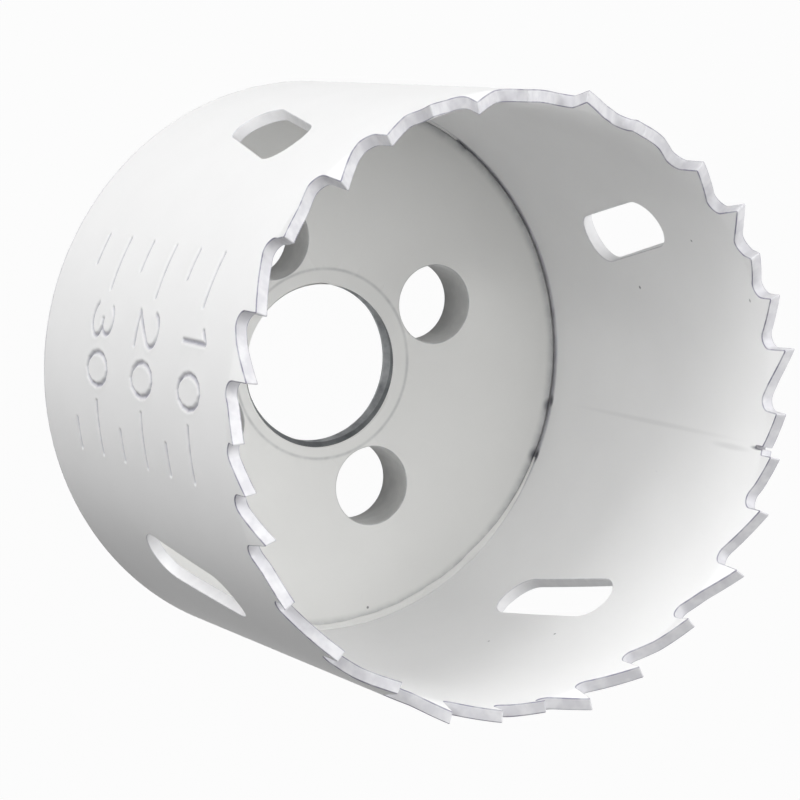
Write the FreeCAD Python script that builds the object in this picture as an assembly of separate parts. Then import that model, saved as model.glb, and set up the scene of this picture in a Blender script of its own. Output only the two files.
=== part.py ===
import FreeCAD, Part
import math
import os
from FreeCAD import Vector

# A hole saw: a toothed steel band rolled into a cup, with a thick disc welded into its back end.
# It stands on its back face at z = 0 with the teeth up, and the z axis is its own axis.
# Lengths are in millimetres and angles in degrees.

# The band, cut from flat strip, rolled and butt-welded into a ring
CUT_DIAMETER = 54.0        # across the tips that lean outwards, which is the hole that it cuts
OVERALL_HEIGHT = 44.0      # from the back face to the tips
BAND_THICKNESS = 1.1
BACK_CHAMFER_HEIGHT = 1.3  # turned on the band's outer back edge
BACK_CHAMFER_WIDTH = 0.5
BUTT_WELD_ANGLE = -135.0   # where the two ends of the strip meet

# The teeth, of variable pitch and set in turn inwards, outwards and straight
TOOTH_PITCHES = [5.59, 4.85, 4.2, 4.4, 5.44, 6.39, 6.29]  # one after another along the strip, then again
FIRST_TIP = 3.36           # from the butt weld to the first tip, where the strip was cut
TOOTH_SET = 0.5            # how far a set tip leans out of the wall
SET_TURN = [-1, 1, 0]      # in, out and straight, from the first tooth on
GULLET_SLOPE = 0.53        # depth of a gullet for each millimetre of its pitch
GULLET_RADIUS = 0.9        # at the foot of the cutting face
TIP_LAND = 0.15            # the narrow flat left on each tip
SET_LINE_RISE = 0.25       # the teeth bend this far above the bottom of the shallowest gullet
FOOT_GAP = 0.6             # between the feet of neighbouring teeth above the bend, inside the gullet

# The slots that the plug is pushed out through
SLOT_PLACES = [-62.4, -21.4, 21.7, 62.2]  # along the strip from its middle
SLOT_WIDTH = 5.1           # along the strip
SLOT_HEIGHT = 14.4
SLOT_MIDDLE = 23.2         # above the back face
SLOT_LEAN = 13.2           # of its sides, towards the cutting side at the top
SLOT_CORNER = 2.4

# The backing plate
PLATE_THICKNESS = 5.0
PLATE_FIT = 0.03           # radial clearance in the band
PLATE_EDGE = 0.4           # chamfer round both faces
BORE_RADIUS = 7.5          # over the crests of the 5/8 inch, 18 to the inch thread
BORE_MOUTH_RADIUS = 9.0    # of the countersink at each end
BORE_FRONT_DEPTH = 0.3     # of the countersink inside the cup
BORE_BACK_DEPTH = 2.7      # of the one that the arbor's shoulder sits against
PIN_HOLE_COUNT = 4
PIN_HOLE_CIRCLE = 26.0     # diameter of the circle that they lie on
PIN_HOLE_RADIUS = 3.75
PIN_HOLE_ANGLE = -10.0     # of the first one

# The weld bead in the corner between the plate and the band
BEAD_LEG = 0.6             # up the band and in over the plate
BEAD_CROWN = 0.08          # how far it bulges past a straight fillet
BEAD_START = -68.0
BEAD_SWEEP = 280.5         # the rest of the joint is left open

outer_radius = CUT_DIAMETER / 2 - TOOTH_SET
inner_radius = outer_radius - BAND_THICKNESS
middle_radius = outer_radius - BAND_THICKNESS / 2
strip_length = 2 * math.pi * middle_radius
plate_radius = inner_radius - PLATE_FIT
set_line = OVERALL_HEIGHT - GULLET_SLOPE * min(TOOTH_PITCHES) + SET_LINE_RISE
AXIS = Vector(0, 0, 1)
CENTRE = Vector(0, 0, 0)


def strip_angle(distance):
    """The angle at which a place along the strip lies, from its distance past the butt weld."""
    return BUTT_WELD_ANGLE + math.degrees(distance / middle_radius)


def ring(points, start=0.0, sweep=360.0):
    """Turns a section given as (radius, height) points about the axis, through part of a turn or all of it."""
    corners = [Vector(r, 0, z) for r, z in points]
    section = Part.Face(Part.makePolygon(corners + corners[:1]))
    section.rotate(CENTRE, AXIS, start)
    return section.revolve(CENTRE, AXIS, sweep)


def radial_prism(edges, angle, inner, outer):
    """Extrudes a closed outline drawn flat, x along the band and z up, out through the wall at an angle."""
    profile = Part.Face(Part.Wire(edges))
    profile.translate(Vector(0, -inner, 0))
    prism = profile.extrude(Vector(0, inner - outer, 0))
    prism.rotate(CENTRE, AXIS, angle + 90)
    return prism


def tooth_tips():
    """Distances of the tips along the strip and the pitch from each one to the next."""
    tips = []
    pitches = []
    distance = FIRST_TIP
    while distance + TIP_LAND < strip_length:
        pitch = TOOTH_PITCHES[len(tips) % len(TOOTH_PITCHES)]
        tips.append(distance)
        pitches.append(pitch)
        distance += pitch
    return tips, pitches


def gullet(tip, pitch):
    """The space cut out between a tip's cutting face and the next tip: an upright face, a round foot, a slope."""
    top = OVERALL_HEIGHT + 1.0
    foot = OVERALL_HEIGHT - GULLET_SLOPE * pitch + GULLET_RADIUS
    next_tip = middle_radius * math.sin((pitch - TIP_LAND) / middle_radius)
    reach = math.hypot(next_tip - GULLET_RADIUS, OVERALL_HEIGHT - foot)
    heading = math.atan2(foot - OVERALL_HEIGHT, GULLET_RADIUS - next_tip) + 2 * math.pi
    heading += math.asin(GULLET_RADIUS / reach)
    run = math.sqrt(reach ** 2 - GULLET_RADIUS ** 2)
    slope_foot = Vector(next_tip + run * math.cos(heading), 0, OVERALL_HEIGHT + run * math.sin(heading))
    turn = (math.pi + heading + math.pi / 2) / 2
    low = Vector(GULLET_RADIUS * (1 + math.cos(turn)), 0, foot + GULLET_RADIUS * math.sin(turn))
    crest = Vector(next_tip, 0, OVERALL_HEIGHT)
    face_foot = Vector(0, 0, foot)
    edges = [
        Part.makeLine(Vector(0, 0, top), face_foot),
        Part.Arc(face_foot, low, slope_foot).toShape(),
        Part.makeLine(slope_foot, crest),
        Part.makeLine(crest, Vector(next_tip, 0, top)),
        Part.makeLine(Vector(next_tip, 0, top), Vector(0, 0, top)),
    ]
    return radial_prism(edges, strip_angle(tip), inner_radius - 2 * TOOTH_SET, outer_radius + 2 * TOOTH_SET)


def strip_end(start, end):
    """A block over the tooth line between two places on the strip, to trim a gullet at the butt weld."""
    low = set_line - max(TOOTH_PITCHES)
    block = [(inner_radius / 2, low), (2 * outer_radius, low),
             (2 * outer_radius, 2 * OVERALL_HEIGHT), (inner_radius / 2, 2 * OVERALL_HEIGHT)]
    return ring(block, strip_angle(start), math.degrees((end - start) / middle_radius))


def tooth_blank(start, end, side):
    """One tooth before its gullets are cut, leaning inwards, outwards or not at all above the set line."""
    lean = side * TOOTH_SET
    section = [(inner_radius, set_line), (outer_radius, set_line),
               (outer_radius + lean, OVERALL_HEIGHT), (inner_radius + lean, OVERALL_HEIGHT)]
    return ring(section, strip_angle(start), math.degrees((end - start) / middle_radius))


def slot(middle):
    """One plug slot: a parallelogram with round corners, whose sides lean."""
    half = SLOT_WIDTH / 2
    rise = SLOT_HEIGHT / 2
    shift = rise * math.tan(math.radians(SLOT_LEAN))
    corners = [Vector(-half - shift, 0, -rise), Vector(half - shift, 0, -rise),
               Vector(half + shift, 0, rise), Vector(-half + shift, 0, rise)]
    for corner in corners:
        corner.z += SLOT_MIDDLE
    outline = Part.makePolygon(corners + corners[:1]).Edges
    prism = radial_prism(outline, strip_angle(middle), inner_radius / 2, 2 * outer_radius)
    through = [e for e in prism.Edges if abs(e.tangentAt(e.FirstParameter).z) < 1e-6 and e.Length > inner_radius]
    return prism.makeFillet(SLOT_CORNER, through)


def saw_band():
    """The rolled strip with its set teeth, gullets and plug slots."""
    tube = ring([(inner_radius, 0), (outer_radius - BACK_CHAMFER_WIDTH, 0), (outer_radius, BACK_CHAMFER_HEIGHT),
                 (outer_radius, set_line), (inner_radius, set_line)])

    tips, pitches = tooth_tips()
    blanks = []
    gullets = []
    foot = 0.0
    for number, tip in enumerate(tips):
        next_foot = min(tip + GULLET_RADIUS, strip_length)
        start = foot + FOOT_GAP / 2 if number else 0.0
        end = next_foot - FOOT_GAP / 2 if next_foot < strip_length else strip_length
        blanks.append(tooth_blank(start, end, SET_TURN[number % len(SET_TURN)]))
        gullets.append(gullet(tip, pitches[number]))
        foot = next_foot
    before_first = gullet(FIRST_TIP - TOOTH_PITCHES[-1], TOOTH_PITCHES[-1])
    gullets[-1] = gullets[-1].common(strip_end(tips[-1] - TIP_LAND, strip_length))
    gullets.append(before_first.common(strip_end(0.0, FIRST_TIP + TIP_LAND)))

    band = tube.multiFuse(blanks).removeSplitter()
    slots = [slot(strip_length / 2 + place) for place in SLOT_PLACES]
    return band.cut(Part.makeCompound(gullets + slots)).Solids[0]


def backing_plate():
    """The thick disc in the back of the band, with the arbor's bore and the drive pin holes."""
    disc = ring([(0, 0), (plate_radius - PLATE_EDGE, 0), (plate_radius, PLATE_EDGE),
                 (plate_radius, PLATE_THICKNESS - PLATE_EDGE), (plate_radius - PLATE_EDGE, PLATE_THICKNESS),
                 (0, PLATE_THICKNESS)])
    over = 1.0
    bore = ring([(0, -over), (BORE_MOUTH_RADIUS, -over), (BORE_MOUTH_RADIUS, 0), (BORE_RADIUS, BORE_BACK_DEPTH),
                 (BORE_RADIUS, PLATE_THICKNESS - BORE_FRONT_DEPTH), (BORE_MOUTH_RADIUS, PLATE_THICKNESS),
                 (BORE_MOUTH_RADIUS, PLATE_THICKNESS + over), (0, PLATE_THICKNESS + over)])
    tools = [bore]
    for k in range(PIN_HOLE_COUNT):
        centre = Vector(PIN_HOLE_CIRCLE / 2, 0, -over)
        pin_hole = Part.makeCylinder(PIN_HOLE_RADIUS, PLATE_THICKNESS + 2 * over, centre)
        pin_hole.rotate(CENTRE, AXIS, PIN_HOLE_ANGLE + k * 360 / PIN_HOLE_COUNT)
        tools.append(pin_hole)
    return disc.cut(Part.makeCompound(tools)).Solids[0]


def weld_bead():
    """The bead of weld metal, which fills the groove at the plate's edge and rises into the corner."""
    groove = PLATE_THICKNESS - PLATE_EDGE
    bulge = BEAD_CROWN * math.sqrt(0.5)
    crown = (inner_radius - BEAD_LEG / 2 - bulge, PLATE_THICKNESS + BEAD_LEG / 2 + bulge)
    outline = [(inner_radius - BEAD_LEG, PLATE_THICKNESS), (plate_radius - PLATE_EDGE, PLATE_THICKNESS),
               (plate_radius, groove), (inner_radius, groove), (inner_radius, PLATE_THICKNESS + BEAD_LEG), crown]
    return ring(outline, BEAD_START, BEAD_SWEEP)


os.makedirs("parts", exist_ok=True)
pieces = {"saw_band": saw_band(), "backing_plate": backing_plate(), "weld_bead": weld_bead()}
for name, shape in pieces.items():
    box = shape.BoundBox
    print(name, shape.isValid(), len(shape.Solids), "solids", round(shape.Volume, 1), "mm3",
          round(box.XLength, 2), round(box.YLength, 2), round(box.ZMin, 2), round(box.ZMax, 2))
    shape.exportStep("parts/" + name + ".step")
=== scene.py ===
import math

import bmesh
import bpy
import numpy as np
from mathutils import Euler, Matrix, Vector, kdtree
from mathutils.geometry import delaunay_2d_cdt


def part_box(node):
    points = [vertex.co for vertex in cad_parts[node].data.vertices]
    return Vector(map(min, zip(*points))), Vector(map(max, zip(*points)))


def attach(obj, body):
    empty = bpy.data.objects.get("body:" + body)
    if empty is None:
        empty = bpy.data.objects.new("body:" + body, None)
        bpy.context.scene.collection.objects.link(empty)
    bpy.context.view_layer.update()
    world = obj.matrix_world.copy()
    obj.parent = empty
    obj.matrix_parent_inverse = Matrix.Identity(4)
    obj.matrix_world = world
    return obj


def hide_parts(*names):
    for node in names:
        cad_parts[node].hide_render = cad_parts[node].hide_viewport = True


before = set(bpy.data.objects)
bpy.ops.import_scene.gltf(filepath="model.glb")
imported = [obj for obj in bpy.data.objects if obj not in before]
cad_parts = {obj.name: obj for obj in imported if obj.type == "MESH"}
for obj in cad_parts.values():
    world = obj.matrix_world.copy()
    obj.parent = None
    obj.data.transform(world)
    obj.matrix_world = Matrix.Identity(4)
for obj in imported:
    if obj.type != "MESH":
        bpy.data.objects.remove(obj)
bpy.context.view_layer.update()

# A hole saw in white baked enamel: a toothed band, the disc welded into its back, and the bead between them.
# Every length here is in millimetres, every angle in degrees, and MM turns a length into the scene's metres.
MM = 0.001

# Taken from the frame
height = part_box("saw_band")[1].z / MM
plate_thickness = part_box("backing_plate")[1].z / MM
plate_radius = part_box("backing_plate")[1].x / MM

# The band
PLATE_FIT = 0.03           # gap between the plate and the band
WALL = 1.1
BACK_CHAMFER_HEIGHT = 1.3
BACK_CHAMFER_WIDTH = 0.5
BACK_CORNER = 0.12         # how the enamel rounds the corners of the back edge
BUTT_WELD_ANGLE = -135.0
WELD_SLIT = 0.11           # half the width of the crack left at the teeth by the butt weld
WELD_SLIT_DEPTH = 0.95

# The teeth
TOOTH_PITCHES = [5.59, 4.85, 4.2, 4.4, 5.44, 6.39, 6.29]
FIRST_TIP = 3.36
TOOTH_SET = 0.5
SET_TURN = [-1, 1, 0]
GULLET_SLOPE = 0.53
GULLET_RADIUS = 0.9
TIP_LAND = 0.15
TIP_ROUND = 0.09           # of the enamel over a tip
BEND_EASE = 0.18           # how softly the bend of a set tooth begins, as a share of its height

# The slots
SLOT_PLACES = [-62.4, -21.4, 21.7, 62.2]
SLOT_WIDTH = 5.1
SLOT_HEIGHT = 14.4
SLOT_MIDDLE = 23.2
SLOT_LEAN = 13.2
SLOT_CORNER = 2.4

# How the enamel rounds each kind of edge, and how thin it has run there, from 0 to 1
TOOTH_EDGE = 0.11
TOOTH_THIN = 1.0
SLOT_EDGE = 0.1
SLOT_THIN = 0.4
PLATE_EDGE = 0.4
PLATE_THIN = 0.5
PIN_HOLE_EDGE = 0.12
PIN_HOLE_THIN = 0.5
EDGE_STEPS = 4             # faces round each corner
FACE_SHARE = 0.4           # of an edge's thinness is on its cut face
CORNER_SHARE = 0.85        # and this share more is on its corners
BACK_FACE_THIN = 0.35      # how thin it has run on the chamfer of the band's back edge
BACK_CORNER_THIN = 0.9     # and on the corners there

# The plate
PIN_HOLE_COUNT = 4
PIN_HOLE_CIRCLE = 26.0
PIN_HOLE_RADIUS = 3.75
PIN_HOLE_ANGLE = -10.0
BORE_MOUTH_RADIUS = 9.0
BORE_FRONT_DEPTH = 0.3
BORE_BACK_DEPTH = 2.7
BORE_RADIUS = 7.5
THREAD_ROOT = 7.94         # a 5/8 inch thread, 18 to the inch
THREAD_PITCH = 1.411
CREST_FLAT = 3 / 52        # half the width of a crest, as a share of the pitch
FLANK_RUN = 0.5 - 2 * CREST_FLAT

# The bead
BEAD_LEG = 0.6
BEAD_START = -68.0
BEAD_SWEEP = 280.5
BEAD_TAPER = 12.0          # length over which it thins out at each end
BEAD_FULLNESS = 0.8        # how round it is: 1 is a quarter of a circle, 0.7 a flat slope

# The stamped depth scale
SCALE_MIDDLE = 48.0        # angle of its middle line round the band
SCALE_DEPTHS = [10, 20, 30]
DIGIT_HEIGHT = 4.5
DIGIT_WIDTH = 2.9
DIGIT_STEP = 4.2
LONG_MARK = 4.6
SHORT_MARK = 2.6
SHORT_MARK_DROP = 5.0      # from a number's marks to the short ones below them
MARK_GAP = 1.4
STROKE = 0.32              # half the width of a stamped stroke
STROKE_DEPTH = 0.2
STROKE_LIP = 0.015         # metal raised beside a stroke
STROKE_SHADE = 0.8          # how dark the painted shade is at the bottom of a stroke, from 0 to 1
LIP_PLACE = 1.35           # the raised metal's distance from the middle of its stroke, in halves of a stroke
LIP_WIDTH = 0.4            # and how wide it is

inner_radius = plate_radius + PLATE_FIT
middle_radius = inner_radius + WALL / 2
strip_length = 2 * math.pi * middle_radius
bend_line = height - GULLET_SLOPE * min(TOOTH_PITCHES)


def tooth_tips():
    """Distances of the tips along the strip and the pitch from each one to the next."""
    tips = []
    pitches = []
    distance = FIRST_TIP
    while distance + TIP_LAND < strip_length:
        pitch = TOOTH_PITCHES[len(tips) % len(TOOTH_PITCHES)]
        tips.append(distance)
        pitches.append(pitch)
        distance += pitch
    return tips, pitches


tips, pitches = tooth_tips()


# Outlines, which run with the metal on their right hand

def rounded(corners, closed):
    """Draws a line through corners given as (x, y, radius), with an arc of its radius at each."""
    count = len(corners)
    line = []
    for k, (x, y, radius) in enumerate(corners):
        here = Vector((x, y))
        if not closed and k in (0, count - 1):
            line.append(here)
            continue
        before = (Vector(corners[k - 1][:2]) - here).normalized()
        after = (Vector(corners[(k + 1) % count][:2]) - here).normalized()
        half = before.angle(after) / 2
        middle = here + (before + after).normalized() * radius / math.sin(half)
        start = here + before * radius / math.tan(half) - middle
        turn = start.angle_signed(here + after * radius / math.tan(half) - middle)
        steps = max(3, math.ceil(abs(turn) * radius / ARC_STEP))
        for step in range(steps + 1):
            angle = -turn * step / steps
            line.append(middle + Vector((start.x * math.cos(angle) - start.y * math.sin(angle),
                                         start.x * math.sin(angle) + start.y * math.cos(angle))))
    return line


def divided(line, closed, step):
    """Adds points along a line so that no stretch of it is longer than a step."""
    ends = line[1:] + line[:1] if closed else line[1:]
    points = []
    for a, b in zip(line, ends):
        parts = max(1, math.ceil((b - a).length / step))
        points.extend(a.lerp(b, k / parts) for k in range(parts))
    if not closed:
        points.append(line[-1])
    return np.array([tuple(p) for p in points])


def sideways(line, closed):
    """The direction out of the metal at each point of an outline, straight up at the ends of an open one."""
    ahead = np.roll(line, -1, axis=0) - line
    behind = line - np.roll(line, 1, axis=0)
    if not closed:
        ahead[-1] = (1, 0)
        behind[0] = (1, 0)
    ahead /= np.linalg.norm(ahead, axis=1)[:, None]
    behind /= np.linalg.norm(behind, axis=1)[:, None]
    if not closed:
        behind[-1] = ahead[-1]
        ahead[0] = behind[0]
    along = ahead + behind
    along /= np.linalg.norm(along, axis=1)[:, None]
    return np.column_stack((-along[:, 1], along[:, 0]))


ARC_STEP = 0.12            # between points round a small arc
LINE_STEP = 0.3            # between points along an edge


def tooth_line():
    """The milled edge of the flat strip, from the butt weld once along all the teeth and back to it."""
    first_slope_start = FIRST_TIP - TOOTH_PITCHES[-1]
    at_weld = on_back(first_slope_start, TOOTH_PITCHES[-1], 0.0)
    crack = at_weld - WELD_SLIT_DEPTH
    corners = [(0.0, crack - WELD_SLIT / 2, 0), (WELD_SLIT, crack, WELD_SLIT / 2),
               (WELD_SLIT, at_weld, TIP_ROUND)]
    for tip, pitch in zip(tips, pitches):
        corners.append((tip - TIP_LAND, height, TIP_ROUND))
        corners.append((tip, height, TIP_ROUND))
        if tip != tips[-1]:
            corners.append((tip, on_back(tip, pitch, tip), GULLET_RADIUS))
    corners.append((tips[-1], at_weld, WELD_SLIT))
    corners.append((strip_length - WELD_SLIT, at_weld, TIP_ROUND))
    corners.append((strip_length - WELD_SLIT, crack, WELD_SLIT / 2))
    corners.append((strip_length, crack - WELD_SLIT / 2, 0))
    return divided(rounded(corners, False), False, LINE_STEP)


def on_back(tip, pitch, place):
    """Height, at a place, of the straight back that rises to the tooth after a tip."""
    foot = height - GULLET_SLOPE * pitch + GULLET_RADIUS
    run = pitch - TIP_LAND - GULLET_RADIUS
    rise = height - foot
    turn = math.atan2(rise, run) - math.acos(GULLET_RADIUS / math.hypot(run, rise))
    slope = (rise - GULLET_RADIUS * math.sin(turn)) / (run - GULLET_RADIUS * math.cos(turn))
    return height - slope * (tip + pitch - TIP_LAND - place)


def slot_line(middle):
    """One plug slot: a parallelogram with round corners, whose sides lean."""
    half = SLOT_WIDTH / 2
    rise = SLOT_HEIGHT / 2
    shift = rise * math.tan(math.radians(SLOT_LEAN))
    corners = [(middle - half - shift, SLOT_MIDDLE - rise, SLOT_CORNER),
               (middle + half - shift, SLOT_MIDDLE - rise, SLOT_CORNER),
               (middle + half + shift, SLOT_MIDDLE + rise, SLOT_CORNER),
               (middle - half + shift, SLOT_MIDDLE + rise, SLOT_CORNER)]
    return divided(rounded(corners, True), True, LINE_STEP)


def circle_line(x, y, radius, count, clockwise=False):
    """A round outline: a hole, or with clockwise the rim of a disc."""
    turn = np.linspace(0, 2 * math.pi, count, endpoint=False) * (-1 if clockwise else 1)
    return np.column_stack((x + radius * np.cos(turn), y + radius * np.sin(turn)))


# The skin of a sheet-metal piece, drawn flat as (x, y, depth) and then put in its place

class Skin:
    """A piece's surface while it is made: its flat points, the way each of them faces, and its faces."""

    def __init__(self):
        self.points = []
        self.facing = []
        self.worn = []
        self.faces = []
        self.finish = []
        self.count = 0

    def add(self, points, facing, faces, worn=0.0, finish=0):
        """Adds points and the faces between them. worn, for each point or all of them, is how thin the enamel
        has run there, and in the stamped strokes how deep the painted shade is; finish, for each face or all
        of them, is the number of the finish."""
        self.faces.extend(tuple(corner + self.count for corner in face) for face in faces)
        self.finish.extend(np.full(len(faces), finish).tolist())
        self.points.append(points)
        self.facing.append(facing)
        self.worn.append(np.full(len(points), 1.0) * worn)
        self.count += len(points)


def strips(rows, columns, closed):
    """Faces between the rows of a grid of points."""
    faces = []
    last = columns if closed else columns - 1
    for row in range(rows - 1):
        for k in range(last):
            a = row * columns + k
            b = row * columns + (k + 1) % columns
            faces.append((a, b, b + columns, a + columns))
    return faces


def edge(skin, outline, closed, roundness, thickness, thin):
    """Rounds the sheet over its edge from the front face to the back one, and returns the line it starts at.
    thin is how thin the enamel has run there."""
    way = sideways(outline, closed)
    inset = outline - roundness * way
    turns = np.linspace(0, math.pi / 2, EDGE_STEPS + 1)
    stations = [(1, turn) for turn in turns] + [(-1, turn) for turn in turns[::-1]]
    points = []
    facing = []
    worn = []
    for side, turn in stations:
        flat = inset + (outline - inset) * math.sin(turn)
        depth = side * (thickness / 2 - roundness * (1 - math.cos(turn)))
        points.append(np.column_stack((flat, np.full(len(flat), depth))))
        facing.append(np.column_stack((way * math.sin(turn), np.full(len(flat), side * math.cos(turn)))))
        share = CORNER_SHARE * math.sin(2 * turn) + FACE_SHARE * math.sin(turn) ** 2
        worn.append(np.full(len(flat), thin * share))
    skin.add(np.vstack(points), np.vstack(facing), strips(len(stations), len(outline), closed),
             worn=np.concatenate(worn))
    return inset


AT_ONCE = 2000             # places looked at together


def within(places, borders):
    """Whether each flat place lies inside the metal: an odd number of borders lie to its left."""
    starts = np.vstack(borders)
    ends = np.vstack([np.roll(border, -1, axis=0) for border in borders])
    run, rise = (ends - starts).T
    crossings = np.zeros(len(places), int)
    for first in range(0, len(places), AT_ONCE):
        x, y = places[first:first + AT_ONCE].T[:, :, None]
        level = (starts[:, 1] > y) != (ends[:, 1] > y)
        with np.errstate(divide="ignore", invalid="ignore"):
            crossing = starts[:, 0] + (y - starts[:, 1]) / rise * run
        crossings[first:first + AT_ONCE] = np.sum(level & (crossing < x), axis=1)
    return crossings % 2 == 1


def fill(skin, borders, inside, clear, depth_at, facing_at, worn_and_shade_at=None):
    """Fills the flat face between its borders, the first of which goes round the others. Points spread inside
    it keep clear of the borders. depth_at, facing_at and worn_and_shade_at say what the face is like at each one."""
    near = kdtree.KDTree(sum(len(b) for b in borders))
    points = []
    edges = []
    for border in borders:
        start = len(points)
        for k, (x, y) in enumerate(border):
            near.insert((x, y, 0), start + k)
            points.append((x, y))
            edges.append((start + k, start + (k + 1) % len(border)))
    near.balance()
    points.extend(p for p in inside if near.find((p[0], p[1], 0))[2] > clear(p))
    flat, _, faces, _, _, _ = delaunay_2d_cdt([Vector(p) for p in points], edges, [], 0, 1e-6, False)
    flat = np.array([tuple(p) for p in flat])
    faces = np.array(faces)
    faces = faces[within(flat[faces].mean(axis=1), borders)]
    used, faces = np.unique(faces, return_inverse=True)
    flat = flat[used]
    faces = [tuple(face) for face in faces.reshape(-1, 3).tolist()]
    worn = worn_and_shade_at(flat) if worn_and_shade_at else 0.0
    skin.add(np.column_stack((flat, depth_at(flat))), facing_at(flat), faces, worn)


SAME_PLACE = 0.002         # points nearer to each other than this are one


def make_piece(name, points, faces, finishes, finish_of=None, facing=None, worn=None):
    """Makes a closed mesh from points in millimetres and puts it in the scene."""
    mesh = bpy.data.meshes.new(name)
    mesh.from_pydata((points * MM).tolist(), [], faces)
    for finish in finishes:
        mesh.materials.append(finish)
    if finish_of is not None:
        mesh.polygons.foreach_set("material_index", finish_of)
    if worn is None:
        worn = np.zeros(len(points))
    mesh.attributes.new("worn", "FLOAT", "POINT").data.foreach_set("value", worn)
    if facing is not None:
        mesh.attributes.new("facing", "FLOAT_VECTOR", "POINT").data.foreach_set("vector", facing.ravel())
    edit = bmesh.new()
    edit.from_mesh(mesh)
    bmesh.ops.remove_doubles(edit, verts=edit.verts, dist=SAME_PLACE * MM)
    bmesh.ops.recalc_face_normals(edit, faces=edit.faces)
    edit.to_mesh(mesh)
    edit.free()
    mesh.shade_smooth()
    if facing is not None:
        kept = np.zeros(len(mesh.vertices) * 3)
        mesh.attributes["facing"].data.foreach_get("vector", kept)
        mesh.attributes.remove(mesh.attributes["facing"])
        mesh.normals_split_custom_set_from_vertices(kept.reshape(-1, 3).tolist())
    piece = bpy.data.objects.new(name, mesh)
    bpy.context.scene.collection.objects.link(piece)
    return piece


STEP = 1e-4                # for measuring how a bend turns the skin


def put_in_place(name, skin, place, finishes):
    """Bends a flat skin to its real form, turns the way it faces with it, and makes the piece."""
    flat = np.vstack(skin.points)
    columns = [(place(flat + STEP * way) - place(flat - STEP * way)) / (2 * STEP) for way in np.eye(3)]
    back = np.linalg.inv(np.stack(columns, axis=2))
    facing = np.einsum("nji,nj->ni", back, np.vstack(skin.facing))
    facing /= np.linalg.norm(facing, axis=1)[:, None]
    return make_piece(name, place(flat), skin.faces, finishes, skin.finish, facing, np.concatenate(skin.worn))


# The stamped depth scale

ARC_POINTS = 13


def arc(x, y, wide, high, start, end):
    """A stroke along part of an ellipse."""
    turn = np.radians(np.linspace(start, end, ARC_POINTS))
    return np.column_stack((x + wide * np.cos(turn), y + high * np.sin(turn)))


def digit_strokes(digit):
    """The strokes of one plain numeral, in a box of one by one."""
    if digit == "0":
        return [arc(0.5, 0.5, 0.5, 0.5, 0, 360)]
    if digit == "1":
        return [np.array([(0.2, 0.8), (0.55, 1.0), (0.55, 0.0)])]
    if digit == "2":
        return [np.vstack((arc(0.5, 0.72, 0.48, 0.28, 170, -35), [(0.0, 0.0), (1.0, 0.0)]))]
    return [arc(0.46, 0.74, 0.44, 0.26, 150, -90), arc(0.46, 0.26, 0.52, 0.26, 90, -150)]


def scale_strokes():
    """Every stroke of the depth scale on the flat strip: each number between two long marks, and two short
    marks below it."""
    middle = middle_radius * math.radians(SCALE_MIDDLE - BUTT_WELD_ANGLE)
    strokes = []
    for depth in SCALE_DEPTHS:
        level = height - depth
        text = str(depth)
        start = middle - (DIGIT_STEP * (len(text) - 1) + DIGIT_WIDTH) / 2
        for k, digit in enumerate(text):
            for stroke in digit_strokes(digit):
                corner = (start + k * DIGIT_STEP, level - DIGIT_HEIGHT / 2)
                strokes.append(stroke * (DIGIT_WIDTH, DIGIT_HEIGHT) + corner)
        edge_of_text = middle - start + MARK_GAP
        for side in (-1, 1):
            reach = edge_of_text + LONG_MARK
            strokes.append(np.array([(middle + side * edge_of_text, level), (middle + side * reach, level)]))
            below = level - SHORT_MARK_DROP
            short = middle + side * (reach - SHORT_MARK)
            strokes.append(np.array([(short, below), (middle + side * reach, below)]))
    return strokes


def stroke_distance(flat, strokes):
    """How far each flat point lies from the middle of the nearest stroke."""
    nearest = np.full(len(flat), 1e3)
    for stroke in strokes:
        for a, b in zip(stroke[:-1], stroke[1:]):
            along = np.clip(((flat - a) @ (b - a)) / ((b - a) @ (b - a)), 0, 1)
            nearest = np.minimum(nearest, np.linalg.norm(flat - a - along[:, None] * (b - a), axis=1))
    return nearest


STAMP_MARGIN = 1.0         # round the strokes, inside which the wall may be pressed

strokes = scale_strokes()
stroke_low = np.vstack(strokes).min(0) - STAMP_MARGIN
stroke_high = np.vstack(strokes).max(0) + STAMP_MARGIN


def stamped(flat):
    """Depth of the stamping at each flat point, with the metal that it raised beside the strokes."""
    depth = np.zeros(len(flat))
    inside = np.all((flat > stroke_low) & (flat < stroke_high), axis=1)
    away = stroke_distance(flat[inside], strokes)
    fall = np.clip(1 - away / STROKE, 0, 1)
    lip = np.exp(-((away - LIP_PLACE * STROKE) / (LIP_WIDTH * STROKE)) ** 2)
    depth[inside] = STROKE_DEPTH * fall * fall * (3 - 2 * fall) - STROKE_LIP * lip
    return depth


def stamped_thin(flat):
    """Painted shade in the stamped strokes, darkest at their bottoms."""
    return np.clip(STROKE_SHADE * stamped(flat) / STROKE_DEPTH, 0, 1)


def stamped_facing(flat):
    """Which way the stamped face of the flat strip looks."""
    step = 0.01
    across = (stamped(flat + (step, 0)) - stamped(flat - (step, 0))) / (2 * step)
    upward = (stamped(flat + (0, step)) - stamped(flat - (0, step))) / (2 * step)
    return np.column_stack((across, upward, np.ones(len(flat))))


# The band

def rolled(flat):
    """Rolls the strip up, given as (along, height, depth), and bends each tooth in or out by its set."""
    along, level, depth = flat.T
    tooth = np.searchsorted(np.array(tips[:-1]) + GULLET_RADIUS, along)
    side = np.array(SET_TURN)[tooth % len(SET_TURN)]
    rise = np.clip((level - bend_line) / (height - bend_line), 0, None)
    lean = TOOTH_SET * side * (1 + BEND_EASE) * rise ** 2 / (rise + BEND_EASE)
    radius = middle_radius + depth + lean
    angle = math.radians(BUTT_WELD_ANGLE) + along / middle_radius
    return np.column_stack((radius * np.cos(angle), radius * np.sin(angle), level))


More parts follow.
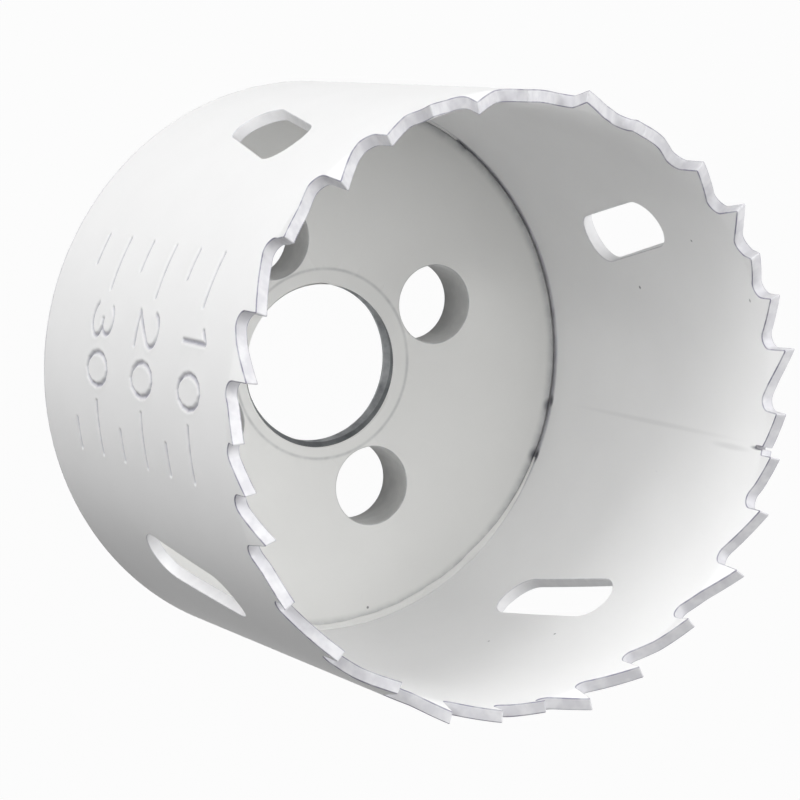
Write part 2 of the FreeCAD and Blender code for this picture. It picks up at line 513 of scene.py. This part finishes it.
COLUMN = 0.45              # between columns of points round the band
ROW = 1.5                  # between rows up the plain wall
TOOTH_ROW = 0.28           # between rows where the teeth bend
STROKE_GRID = 0.11         # between points across a stamped stroke
TOOTH_ZONE = 6             # how far below the tips the points lie closer together
TOOTH_CLEAR = 0.16         # least distance from an edge to a point of the face, among the teeth
WALL_CLEAR = 0.3           # and down the wall
SEAM_ROWS = 28             # points up the seam at the butt weld


def band_points(with_stamping):
    """Points spread over the flat strip, closer together in the teeth and along the stamped strokes."""
    columns = np.linspace(0, strip_length, round(strip_length / COLUMN) + 1)[1:-1]
    wall_rows = np.arange(ROW, height - TOOTH_ZONE, ROW)
    tooth_columns = np.linspace(0, strip_length, round(strip_length / TOOTH_ROW) + 1)[1:-1]
    tooth_rows = np.arange(wall_rows[-1] + ROW / 2, height, TOOTH_ROW)
    wall = np.array(np.meshgrid(columns, wall_rows)).reshape(2, -1).T
    teeth = np.array(np.meshgrid(tooth_columns, tooth_rows)).reshape(2, -1).T
    if not with_stamping:
        return np.vstack((wall, teeth))
    fine = np.array(np.meshgrid(np.arange(stroke_low[0], stroke_high[0], STROKE_GRID),
                                np.arange(stroke_low[1], stroke_high[1], STROKE_GRID))).reshape(2, -1).T
    fine = fine[stroke_distance(fine, strokes) < 2 * STROKE]
    wall = wall[stroke_distance(wall, strokes) > 2 * STROKE + 2 * STROKE_GRID]
    return np.vstack((wall, teeth, fine))


def seam_border(teeth, low):
    """The border of one face of the strip: along the teeth, down one end, along the back and up again."""
    rows = np.linspace(low, teeth[0][1], SEAM_ROWS)[1:-1]
    back = np.linspace(0, strip_length, round(strip_length / COLUMN) + 1)
    down = np.column_stack((np.full(len(rows), strip_length), rows[::-1]))
    along = np.column_stack((back[::-1], np.full(len(back), low)))
    up = np.column_stack((np.zeros(len(rows)), rows))
    return np.vstack((teeth, down, along, up))


def back_edge():
    """The section of the strip's back edge as (height, depth), from its inner face to its outer one, and the
    way each point of it faces."""
    line = rounded([(LINE_STEP, -WALL / 2, 0),
                    (0, -WALL / 2, BACK_CORNER),
                    (0, WALL / 2 - BACK_CHAMFER_WIDTH, BACK_CORNER),
                    (BACK_CHAMFER_HEIGHT, WALL / 2, BACK_CORNER),
                    (BACK_CHAMFER_HEIGHT + LINE_STEP, WALL / 2, 0)], False)
    line = np.array([tuple(point) for point in line])
    ahead = np.gradient(line, axis=0)
    return line, np.column_stack((-ahead[:, 1], ahead[:, 0]))


def make_band(finishes):
    """The toothed band, its slots, its chamfered back edge and the depth scale stamped in it."""
    skin = Skin()
    teeth = edge(skin, tooth_line(), False, TOOTH_EDGE, WALL, TOOTH_THIN)
    slots = []
    for place in SLOT_PLACES:
        slots.append(edge(skin, slot_line(strip_length / 2 + place), True, SLOT_EDGE, WALL, SLOT_THIN))

    def clear(point):
        return TOOTH_CLEAR if point[1] > height - TOOTH_ZONE else WALL_CLEAR

    section, section_facing = back_edge()
    # The outer face carries the stamping, with painted shade in its strokes
    fill(skin, [seam_border(teeth, section[-1][0])] + slots, band_points(True), clear,
         lambda flat: WALL / 2 - stamped(flat), stamped_facing, stamped_thin)
    fill(skin, [seam_border(teeth, section[0][0])] + slots, band_points(False), clear,
         lambda flat: np.full(len(flat), -WALL / 2), lambda flat: np.tile((0, 0, -1), (len(flat), 1)))

    along = np.linspace(0, strip_length, round(strip_length / COLUMN) + 1)
    points = [np.column_stack((along, np.full(len(along), level), np.full(len(along), depth)))
              for level, depth in section]
    facing = [np.tile((0, down, out), (len(along), 1)) for down, out in section_facing]
    over_corner = np.sin(np.linspace(0, math.pi, (len(section) - 2) // 3))
    corner = BACK_FACE_THIN + (BACK_CORNER_THIN - BACK_FACE_THIN) * over_corner
    thin = np.concatenate(([0.0], corner, corner, corner, [0.0]))
    skin.add(np.vstack(points), np.vstack(facing), strips(len(section), len(along), False),
             np.repeat(thin, len(along)))
    return put_in_place("toothed_band", skin, rolled, finishes)


# The plate

def bore_radius(turn, level):
    """Radius of the bore at an angle in radians and a height: the thread, whose crests and roots are equally
    wide, cut away by both countersinks."""
    share = (level / THREAD_PITCH - turn / (2 * math.pi)) % 1.0
    flank = np.clip((np.abs(share - 0.5) - CREST_FLAT) / FLANK_RUN, 0, 1)
    thread = BORE_RADIUS + (THREAD_ROOT - BORE_RADIUS) * flank
    mouth = BORE_MOUTH_RADIUS - BORE_RADIUS
    front = BORE_MOUTH_RADIUS - mouth * (plate_thickness - level) / BORE_FRONT_DEPTH
    back = BORE_MOUTH_RADIUS - mouth * level / BORE_BACK_DEPTH
    return np.maximum(thread, np.maximum(front, back))


RIM_POINTS = 360
PIN_HOLE_POINTS = 96
BORE_COLUMNS = 240
BORE_FRONT_ROWS = 7
BORE_THREAD_ROWS = 40
BORE_BACK_ROWS = 9
PLATE_GRID = 1.4           # between points on the plate's faces
PLATE_CLEAR = 0.5          # least distance from an edge to one of them


def make_plate(finishes):
    """The turned disc with its four pin holes and the threaded bore for the arbor."""
    skin = Skin()
    rim = circle_line(0, 0, plate_radius, RIM_POINTS, True)
    rims = [edge(skin, rim, True, PLATE_EDGE, plate_thickness, PLATE_THIN)]
    for k in range(PIN_HOLE_COUNT):
        turn = math.radians(PIN_HOLE_ANGLE + k * 360 / PIN_HOLE_COUNT)
        x = PIN_HOLE_CIRCLE / 2 * math.cos(turn)
        y = PIN_HOLE_CIRCLE / 2 * math.sin(turn)
        hole = circle_line(x, y, PIN_HOLE_RADIUS, PIN_HOLE_POINTS)
        rims.append(edge(skin, hole, True, PIN_HOLE_EDGE, plate_thickness, PIN_HOLE_THIN))
    rims.append(circle_line(0, 0, BORE_MOUTH_RADIUS, BORE_COLUMNS))
    reach = np.arange(-plate_radius, plate_radius, PLATE_GRID)
    inside = np.array(np.meshgrid(reach, reach)).reshape(2, -1).T
    for side in (1, -1):
        fill(skin, rims, inside, lambda point: PLATE_CLEAR,
             lambda flat: np.full(len(flat), side * plate_thickness / 2),
             lambda flat: np.tile((0, 0, side), (len(flat), 1)))

    front = plate_thickness - BORE_FRONT_DEPTH * np.linspace(0, 1, BORE_FRONT_ROWS)
    thread = np.linspace(front[-1], BORE_BACK_DEPTH, BORE_THREAD_ROWS)[1:]
    back = BORE_BACK_DEPTH * np.linspace(1, 0, BORE_BACK_ROWS)[1:]
    levels = np.concatenate((front, thread, back))
    turn = np.linspace(0, 2 * math.pi, BORE_COLUMNS, endpoint=False)
    turns, heights = np.meshgrid(turn, levels)
    turns = turns.ravel()
    heights = heights.ravel()
    radius = bore_radius(turns, heights)
    step = 1e-3
    rise = (bore_radius(turns, np.clip(heights + step, 0, plate_thickness))
            - bore_radius(turns, np.clip(heights - step, 0, plate_thickness))) / (2 * step)
    points = np.column_stack((radius * np.cos(turns), radius * np.sin(turns), heights - plate_thickness / 2))
    facing = np.column_stack((-np.cos(turns), -np.sin(turns), rise))
    faces = strips(len(levels), BORE_COLUMNS, True)
    enamelled = (BORE_FRONT_ROWS - 1) * BORE_COLUMNS
    skin.add(points, facing, faces, finish=np.repeat([0, 1], [enamelled, len(faces) - enamelled]))
    return put_in_place("drilled_plate", skin, lambda flat: flat + (0, 0, plate_thickness / 2), finishes)


# The bead

BEAD_COLUMN = 0.28         # between sections along the bead
BEAD_POINTS = 9            # across its round face
RIPPLE = 1.3               # length of one ripple in the bead
RIPPLE_HEIGHT = 0.02       # of each ripple, as a share of the leg
BEAD_SINK = 0.02           # the bead's edges lie this far inside the metal that it joins
BEAD_END = 0.05            # of the leg is left at its very ends
BEAD_WIDTH = 0.9           # of the leg is what the hand laid down on the whole


def make_bead(finishes):
    """The round bead of weld metal in the corner, laid down in small ripples and thinning out at its ends."""
    length = inner_radius * math.radians(BEAD_SWEEP)
    sections = round(length / BEAD_COLUMN)
    across = np.linspace(0, math.pi / 2, BEAD_POINTS)
    points = []
    for run in np.linspace(0, length, sections + 1):
        turn = math.radians(BEAD_START) + run / inner_radius
        taper = BEAD_END + (1 - BEAD_END) * min(1.0, min(run, length - run) / BEAD_TAPER)
        # A hand that wanders slowly and shakes a little: three waves, about 7, 17 and 3 mm long
        wander = 0.06 * math.sin(run * 0.9) + 0.05 * math.sin(run * 0.37 + 1.0) + 0.03 * math.sin(run * 2.3)
        ripple = RIPPLE_HEIGHT * math.sin(run * 2 * math.pi / RIPPLE)
        leg = BEAD_LEG * taper * (BEAD_WIDTH + wander)
        radial = np.array((math.cos(turn), math.sin(turn), 0))
        corner = inner_radius * radial + np.array((0, 0, plate_thickness))
        ring = [corner + BEAD_SINK * radial - (0, 0, PLATE_EDGE)]
        for lift in across[::-1]:
            swell = leg * (BEAD_FULLNESS + (1 - BEAD_FULLNESS) * abs(math.cos(2 * lift)) + ripple)
            ring.append(corner + (BEAD_SINK - swell * math.cos(lift)) * radial
                        + (0, 0, swell * math.sin(lift) - BEAD_SINK))
        ring.append(corner - (PLATE_FIT + PLATE_EDGE / 2) * radial - (0, 0, PLATE_EDGE / 2))
        points.extend(ring)
    width = len(across) + 2
    faces = strips(sections + 1, width, True)
    faces.append(tuple(range(width)))
    faces.append(tuple(sections * width + k for k in range(width)))
    return make_piece("weld_ring", np.array(points), faces, finishes)


# Finishes

def linear(colour):
    """An sRGB hex colour as the linear one that a shader takes."""
    parts = [int(colour[k:k + 2], 16) / 255 for k in (1, 3, 5)]
    return [c / 12.92 if c <= 0.04045 else ((c + 0.055) / 1.055) ** 2.4 for c in parts] + [1.0]


def add_node(tree, kind, sockets=None, **settings):
    """Adds a node with its settings. Each socket, by name or number, takes a value or a node's output."""
    node = tree.nodes.new(kind)
    for setting, value in settings.items():
        setattr(node, setting, value)
    for socket, value in (sockets or {}).items():
        if isinstance(value, bpy.types.NodeSocket):
            tree.links.new(value, node.inputs[socket])
        else:
            node.inputs[socket].default_value = value
    return node


def new_finish(name):
    """A material with an empty tree, its output node and the place on the object, in metres."""
    finish = bpy.data.materials.new(name)
    finish.use_nodes = True
    finish.node_tree.nodes.clear()
    out = add_node(finish.node_tree, "ShaderNodeOutputMaterial")
    place = add_node(finish.node_tree, "ShaderNodeTexCoord").outputs["Object"]
    return finish, finish.node_tree, out, place


def per_metre(size):
    """The scale at which a pattern's grain is this many millimetres across."""
    return 1 / (size * MM)


def ring_line(tree, place, radius, level, reach, strength):
    """A soft line round the axis, at a radius and a height, that fades out over its reach."""
    flat = add_node(tree, "ShaderNodeVectorMath", {0: place, 1: (1, 1, 0)}, operation="MULTIPLY")
    away = add_node(tree, "ShaderNodeVectorMath", {0: flat.outputs["Vector"]}, operation="LENGTH")
    up = add_node(tree, "ShaderNodeSeparateXYZ", {"Vector": place})
    section = add_node(tree, "ShaderNodeCombineXYZ", {"X": away.outputs["Value"], "Y": up.outputs["Z"]})
    gap = add_node(tree, "ShaderNodeVectorMath", {0: section.outputs["Vector"],
                                                  1: (radius * MM, level * MM, 0)}, operation="DISTANCE")
    return add_node(tree, "ShaderNodeMapRange", {"Value": gap.outputs["Value"], "From Min": 0.0,
                                                 "From Max": reach * MM, "To Min": strength, "To Max": 0.0},
                    interpolation_type="SMOOTHSTEP").outputs["Result"]


def smudge(tree, place, angle, radius, level, wide, tall, strength):
    """A soft spot at an angle, a radius and a height, so wide round the axis and so tall along it."""
    turn = math.radians(angle)
    centre = Vector((radius * math.cos(turn), radius * math.sin(turn), level))
    size = Vector((wide, wide, tall)) * MM / 2
    from_centre = add_node(tree, "ShaderNodeVectorMath", {0: place, 1: centre * MM}, operation="SUBTRACT")
    in_sizes = add_node(tree, "ShaderNodeVectorMath", {0: from_centre.outputs["Vector"], 1: size},
                        operation="DIVIDE")
    away = add_node(tree, "ShaderNodeVectorMath", {0: in_sizes.outputs["Vector"]}, operation="LENGTH")
    return add_node(tree, "ShaderNodeMapRange", {"Value": away.outputs["Value"], "From Min": 0.2,
                                                 "From Max": 1.0, "To Min": strength, "To Max": 0.0},
                    interpolation_type="SMOOTHSTEP").outputs["Result"]


def strongest(tree, masks):
    """The strongest of several masks at each place."""
    most = masks[0]
    for mask in masks[1:]:
        most = add_node(tree, "ShaderNodeMath", {0: most, 1: mask}, operation="MAXIMUM").outputs["Value"]
    return most


def baked_enamel(name, colour, thin_and_shade_colour, shade_rings=(), smudges=()):
    """White baked enamel, sprayed over bare steel: a smooth satin coat, evenly pale, with a faint orange
    peel, a few specks of dust baked in, grey-violet lines where it has run thin off the edges, the same
    grey-violet as painted shade in the stamped strokes and along the ring lines it is given, and dark
    smudges where dirt has caught."""
    finish, tree, out, place = new_finish(name)
    cloud = add_node(tree, "ShaderNodeTexNoise", {"Vector": place, "Scale": per_metre(9.0), "Detail": 3.0})
    shade = add_node(tree, "ShaderNodeMapRange", {"Value": cloud.outputs["Fac"], "From Min": 0.3,
                                                  "From Max": 0.7, "To Min": 1.0, "To Max": 0.975})
    tint = add_node(tree, "ShaderNodeVectorMath", {0: linear(colour)[:3], "Scale": shade.outputs["Result"]},
                    operation="SCALE")
    worn = add_node(tree, "ShaderNodeAttribute", attribute_name="worn")
    patch = add_node(tree, "ShaderNodeTexNoise", {"Vector": place, "Scale": per_metre(1.1), "Detail": 2.0})
    bare = add_node(tree, "ShaderNodeMapRange", {"Value": patch.outputs["Fac"], "From Min": 0.35,
                                                 "From Max": 0.6, "To Min": 0.65, "To Max": 1.0})
    # Painted shade along the ring lines and in the strokes joins the thin enamel and mixes in its grey-violet
    most = strongest(tree, [worn.outputs["Fac"]] + [ring_line(tree, place, *ring) for ring in shade_rings])
    thin = add_node(tree, "ShaderNodeMath", {0: most, 1: bare.outputs["Result"]}, operation="MULTIPLY")
    edged_and_shaded = add_node(tree, "ShaderNodeMix", {"Factor": thin.outputs["Value"], 6: tint.outputs["Vector"],
                                             7: linear(thin_and_shade_colour)}, data_type="RGBA")
    dust = add_node(tree, "ShaderNodeTexVoronoi", {"Vector": place, "Scale": per_metre(7.0)})
    speck = add_node(tree, "ShaderNodeMapRange", {"Value": dust.outputs["Distance"], "From Min": 0.012,
                                                  "From Max": 0.024, "To Min": 0.75, "To Max": 0.0})
    dark = strongest(tree, [speck.outputs["Result"]] + [smudge(tree, place, *spot) for spot in smudges])
    specked = add_node(tree, "ShaderNodeMix", {"Factor": dark, 6: edged_and_shaded.outputs[2], 7: linear("#4E5056")},
                       data_type="RGBA")
    peel = add_node(tree, "ShaderNodeTexNoise", {"Vector": place, "Scale": per_metre(0.8), "Detail": 2.0,
                                                 "Roughness": 0.4})
    bump = add_node(tree, "ShaderNodeBump", {"Height": peel.outputs["Fac"], "Strength": 0.12,
                                             "Distance": 0.05 * MM})
    coat = add_node(tree, "ShaderNodeBsdfPrincipled", {"Base Color": specked.outputs[2], "Roughness": 0.45,
                                                       "Specular IOR Level": 0.15,
                                                       "Normal": bump.outputs["Normal"]})
    tree.links.new(coat.outputs["BSDF"], out.inputs["Surface"])
    return finish


SHADE_START = 1.5           # how far below the front face the painted shade in the bore begins
SHADE_FULL = 0.9            # and how far below it the painted shade is at its darkest


def tapped_steel(name):
    """Mild steel, tapped and left bare: a dull grey metal, mottled and finely scored, with painted shade on
    the first thread just below the mouth of the bore."""
    finish, tree, out, place = new_finish(name)
    stain = add_node(tree, "ShaderNodeTexNoise", {"Vector": place, "Scale": per_metre(2.6), "Detail": 5.0,
                                                  "Roughness": 0.65})
    colour = add_node(tree, "ShaderNodeMapRange", {"Value": stain.outputs["Fac"], "From Min": 0.35,
                                                   "From Max": 0.66})
    tint = add_node(tree, "ShaderNodeMix", {"Factor": colour.outputs["Result"], 6: linear("#8A8D8F"),
                                            7: linear("#C0C2C4")}, data_type="RGBA")
    up = add_node(tree, "ShaderNodeSeparateXYZ", {"Vector": place})
    # Painted shade: the bore darkens towards its mouth, just below the countersink
    mouth = add_node(tree, "ShaderNodeMapRange", {"Value": up.outputs["Z"], "To Max": 0.6,
                                                  "From Min": (plate_thickness - SHADE_START) * MM,
                                                  "From Max": (plate_thickness - SHADE_FULL) * MM})
    dark = add_node(tree, "ShaderNodeMix", {"Factor": mouth.outputs["Result"], 6: tint.outputs[2],
                                            7: linear("#4A4E51")}, data_type="RGBA")
    grain = add_node(tree, "ShaderNodeTexNoise", {"Vector": place, "Scale": per_metre(0.35), "Detail": 3.0})
    rough = add_node(tree, "ShaderNodeMapRange", {"Value": stain.outputs["Fac"], "To Min": 0.35,
                                                  "To Max": 0.6})
    bump = add_node(tree, "ShaderNodeBump", {"Height": grain.outputs["Fac"], "Strength": 0.3,
                                             "Distance": 0.05 * MM})
    steel = add_node(tree, "ShaderNodeBsdfPrincipled", {"Base Color": dark.outputs[2], "Metallic": 0.6,
                                                        "Roughness": rough.outputs["Result"],
                                                        "Normal": bump.outputs["Normal"]})
    tree.links.new(steel.outputs["BSDF"], out.inputs["Surface"])
    return finish


WHITE_SHARE = 0.97         # of the paper's look that is plain white; the rest takes light and shadow


def white_paper():
    """White backdrop paper: plain and matt, pure white to the eye, with the saw's faint shadow on it."""
    finish, tree, out, _ = new_finish("White backdrop paper, matt")
    paper = add_node(tree, "ShaderNodeBsdfDiffuse", {"Color": linear("#5C5C5C")})
    glow = add_node(tree, "ShaderNodeEmission", {"Color": linear("#FFFFFF"), "Strength": 1.0})
    ray = add_node(tree, "ShaderNodeLightPath")
    kinds = ("Is Camera Ray", "Is Glossy Ray", "Is Transmission Ray")
    seen = strongest(tree, [ray.outputs[kind] for kind in kinds])
    share = add_node(tree, "ShaderNodeMath", {0: seen, 1: WHITE_SHARE}, operation="MULTIPLY")
    mix = add_node(tree, "ShaderNodeMixShader", {"Fac": share.outputs["Value"], 1: paper.outputs["BSDF"],
                                                 2: glow.outputs["Emission"]})
    tree.links.new(mix.outputs["Shader"], out.inputs["Surface"])
    return finish


# Ring lines of painted shade are (radius, height, reach, strength),
# and smudges (angle, radius, height, wide, tall, strength)
joint_level = plate_thickness + 0.1
band_smudges = [
    # Two blots where the joint was left open
    (-134.5, inner_radius, joint_level, 1.6, 0.9, 0.8),
    (-147.2, inner_radius, joint_level, 2.0, 0.9, 0.9),
    # Specks of dirt on the inner wall
    (-106.0, inner_radius, 22.4, 0.45, 0.45, 0.8),
    (-93.3, inner_radius, 34.6, 0.35, 0.35, 0.7),
    (-105.5, inner_radius, 40.7, 0.5, 0.35, 0.6),
    # A bruised tooth
    (-82.5, inner_radius, 44.0, 0.9, 1.4, 0.8),
    # The butt weld: its crack, the smear below it and the faint seam down the wall
    (-135.2, inner_radius, 41.2, 0.5, 2.8, 0.75),
    (-136.0, inner_radius, 37.0, 0.8, 8.0, 0.12),
    (-134.4, inner_radius, 24.0, 0.7, 34.0, 0.08)]
plate_smudges = [
    # Where the bead ends, and the same two blots
    (-70.3, plate_radius, plate_thickness, 1.5, 1.0, 0.5),
    (-135.5, plate_radius, plate_thickness, 2.0, 1.0, 0.8),
    (-147.2, plate_radius, plate_thickness, 2.2, 1.0, 0.9)]
# Painted shade in the corner where the band meets the plate, on the band's wall and on the plate's face
band_corner_shade = (inner_radius, plate_thickness, 0.55, 0.55)
plate_corner_shade = (plate_radius, plate_thickness, 1.2, 0.6)
# A thin line of painted shade round the rim of the bore's countersink
countersink_rim_shade = (BORE_MOUTH_RADIUS, plate_thickness, 0.25, 0.3)

enamel = baked_enamel("Baked enamel, sprayed white over steel", "#F0F0F0", "#7C7A8C",
                      [band_corner_shade], band_smudges)
plate_enamel = baked_enamel("Baked enamel on the plate, sprayed white", "#EAEAE8", "#666B72",
                            [plate_corner_shade, countersink_rim_shade], plate_smudges)
weld_enamel = baked_enamel("Baked enamel over weld metal", "#EDEDEB", "#666B72")
thread_steel = tapped_steel("Mild steel, tapped and left bare")

band = make_band([enamel])
plate = make_plate([plate_enamel, thread_steel])
bead = make_bead([weld_enamel])
for piece, node_name, slot_name in ((band, "saw_band", "band_enamel"),
                                    (plate, "backing_plate", "plate_enamel"),
                                    (bead, "weld_bead", "weld_enamel")):
    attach(piece, "root")
    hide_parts(node_name)


# The floor, the lamps and the camera

FLOOR_REACH = 3000
FLOOR_DROP = 0.02          # the paper lies this far below the saw


def make_floor():
    """A wide sheet of paper that the saw stands on."""
    reach = FLOOR_REACH * MM
    mesh = bpy.data.meshes.new("floor")
    mesh.from_pydata([(-reach, -reach, 0), (reach, -reach, 0), (reach, reach, 0), (-reach, reach, 0)], [],
                     [(0, 1, 2, 3)])
    mesh.materials.append(white_paper())
    floor = bpy.data.objects.new("floor", mesh)
    floor.location.z = -FLOOR_DROP * MM
    bpy.context.scene.collection.objects.link(floor)


LAMP_SIZE = 400
LAMP_DISTANCE = 700
LAMPS = [                  # azimuth and elevation in degrees, and power in watts
    ("key", 14, 8, 4.2),
    ("front", 28, 35, 1.35),
    ("side", -60, 50, 1.8),
    ("rim", -100, 30, 1.7),
    ("overhead", 0, 85, 0.8),
    ("back", 225, 50, 0.9),
    ("low back", 188, 10, 2.6)]
ROOM_LIGHT = 0.12


def make_lamp(name, azimuth, elevation, power):
    """A square soft lamp that looks at the middle of the cup."""
    light = bpy.data.lights.new(name, "AREA")
    light.size = LAMP_SIZE * MM
    light.energy = power
    lamp = bpy.data.objects.new(name, light)
    away = Vector((0, 0, 1))
    away.rotate(Euler((0, math.radians(90 - elevation), math.radians(azimuth))))
    lamp.location = (Vector((0, 0, height / 2)) + away * LAMP_DISTANCE) * MM
    lamp.rotation_euler = away.to_track_quat("Z", "Y").to_euler()
    bpy.context.scene.collection.objects.link(lamp)


def make_room():
    """The room round the lamps: a weak even light, and white to the camera."""
    world = bpy.data.worlds.new("studio")
    world.use_nodes = True
    tree = world.node_tree
    tree.nodes.clear()
    out = add_node(tree, "ShaderNodeOutputWorld")
    room = add_node(tree, "ShaderNodeBackground", {"Color": linear("#FFFFFF"), "Strength": ROOM_LIGHT})
    white = add_node(tree, "ShaderNodeBackground", {"Color": linear("#FFFFFF"), "Strength": 1.0})
    ray = add_node(tree, "ShaderNodeLightPath")
    mix = add_node(tree, "ShaderNodeMixShader", {"Fac": ray.outputs["Is Camera Ray"],
                                                 1: room.outputs["Background"],
                                                 2: white.outputs["Background"]})
    tree.links.new(mix.outputs["Shader"], out.inputs["Surface"])
    bpy.context.scene.world = world


CAMERA_PLACE = (96.731, 88.774, 266.639)
CAMERA_TURN = (-6.90732, -27.39771, -123.42931)
CAMERA_LENS = 139.67312
SENSOR_WIDTH = 36.0


def make_camera():
    """The camera, which looks down into the cup over the stamped side of the band."""
    lens = bpy.data.cameras.new("camera")
    lens.lens = CAMERA_LENS
    lens.sensor_width = SENSOR_WIDTH
    lens.clip_start = 10 * MM
    camera = bpy.data.objects.new("camera", lens)
    camera.location = Vector(CAMERA_PLACE) * MM
    camera.rotation_euler = Euler([math.radians(turn) for turn in CAMERA_TURN])
    bpy.context.scene.collection.objects.link(camera)
    bpy.context.scene.camera = camera


make_floor()
for lamp in LAMPS:
    make_lamp(*lamp)
make_room()
make_camera()
bpy.context.scene.view_settings.view_transform = "Standard"
